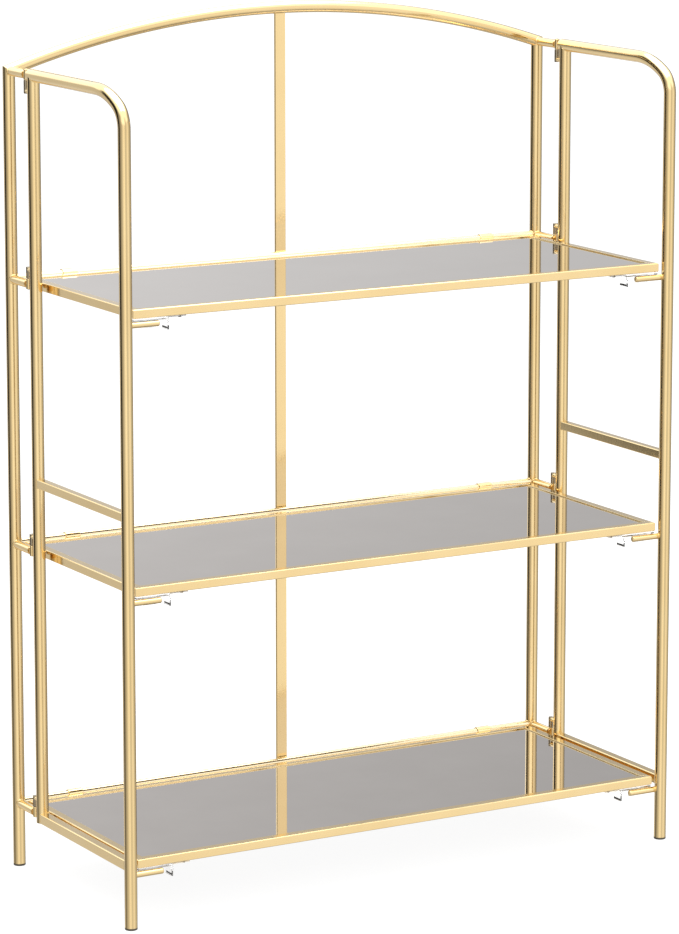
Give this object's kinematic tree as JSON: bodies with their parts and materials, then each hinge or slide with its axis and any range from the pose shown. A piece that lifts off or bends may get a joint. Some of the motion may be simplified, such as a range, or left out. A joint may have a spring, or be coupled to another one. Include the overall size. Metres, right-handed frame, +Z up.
{
  "type": "folding shelf rack",
  "caption": "Folding metal shelf rack with an arched back frame, hinged side frames and flip-up mirrored glass shelves.",
  "frame": {"origin": "on the floor under the middle of the outer box", "axes": "+Z up, +X to the right as seen from the front, -Y towards the front"},
  "size_m": [0.6324, 0.2628, 0.8694],
  "materials": {
    "gold_steel": "gold lacquer, semi-gloss",
    "mirror_glass": "grey mirrored glass",
    "catch_plastic": "pale moulded plastic",
    "screw_steel": "dark steel",
    "glide_plastic": "dark moulded plastic"
  },
  "bodies": {
    "back_frame": {"rear_leg_left": "gold_steel", "rear_leg_right": "gold_steel", "top_arch": "gold_steel", "centre_bar": "gold_steel", "rear_rail_bottom": "gold_steel", "rear_rail_middle": "gold_steel", "rear_rail_top": "gold_steel", "hinge_arms_left": "gold_steel", "hinge_arms_right": "gold_steel", "rear_foot_glides": "glide_plastic"},
    "left_side_frame": {"left_side_tube": "gold_steel", "left_rear_post": "gold_steel", "left_mid_rail": "gold_steel", "left_bottom_rail": "gold_steel", "left_hinge_pins": "gold_steel", "left_latch_rods": "gold_steel", "left_end_plugs": "gold_steel", "left_front_glide": "glide_plastic"},
    "right_side_frame": {"right_side_tube": "gold_steel", "right_rear_post": "gold_steel", "right_mid_rail": "gold_steel", "right_bottom_rail": "gold_steel", "right_hinge_pins": "gold_steel", "right_latch_rods": "gold_steel", "right_end_plugs": "gold_steel", "right_front_glide": "glide_plastic"},
    "bottom_shelf": {"bottom_shelf_front_bar": "gold_steel", "bottom_shelf_rear_bar": "gold_steel", "bottom_shelf_left_bar": "gold_steel", "bottom_shelf_right_bar": "gold_steel", "bottom_shelf_panel": "mirror_glass", "bottom_shelf_panel_tabs": "gold_steel", "bottom_shelf_hinge_sleeves": "gold_steel", "bottom_shelf_catches": "catch_plastic", "bottom_shelf_catch_screws": "screw_steel"},
    "middle_shelf": {"middle_shelf_front_bar": "gold_steel", "middle_shelf_rear_bar": "gold_steel", "middle_shelf_left_bar": "gold_steel", "middle_shelf_right_bar": "gold_steel", "middle_shelf_panel": "mirror_glass", "middle_shelf_panel_tabs": "gold_steel", "middle_shelf_hinge_sleeves": "gold_steel", "middle_shelf_catches": "catch_plastic", "middle_shelf_catch_screws": "screw_steel"},
    "top_shelf": {"top_shelf_front_bar": "gold_steel", "top_shelf_rear_bar": "gold_steel", "top_shelf_left_bar": "gold_steel", "top_shelf_right_bar": "gold_steel", "top_shelf_panel": "mirror_glass", "top_shelf_panel_tabs": "gold_steel", "top_shelf_hinge_sleeves": "gold_steel", "top_shelf_catches": "catch_plastic", "top_shelf_catch_screws": "screw_steel"}
  },
  "joints": [
    {"name": "left_side_hinge", "type": "hinge", "parent": "back_frame", "child": "left_side_frame", "pos_m": [-0.31, 0.08503, 0.4081], "axis": [0, 0, -1], "range_deg": [0, 90]},
    {"name": "right_side_hinge", "type": "hinge", "parent": "back_frame", "child": "right_side_frame", "pos_m": [0.31, 0.08503, 0.4081], "axis": [0, 0, 1], "range_deg": [0, 90]},
    {"name": "bottom_shelf_hinge", "type": "hinge", "parent": "back_frame", "child": "bottom_shelf", "pos_m": [0, 0.12433, 0.0658], "axis": [-1, 0, 0], "range_deg": [0, 90]},
    {"name": "middle_shelf_hinge", "type": "hinge", "parent": "back_frame", "child": "middle_shelf", "pos_m": [0, 0.12433, 0.3359], "axis": [-1, 0, 0], "range_deg": [0, 90]},
    {"name": "top_shelf_hinge", "type": "hinge", "parent": "back_frame", "child": "top_shelf", "pos_m": [0, 0.12433, 0.606], "axis": [-1, 0, 0], "range_deg": [0, 87]}
  ]
}
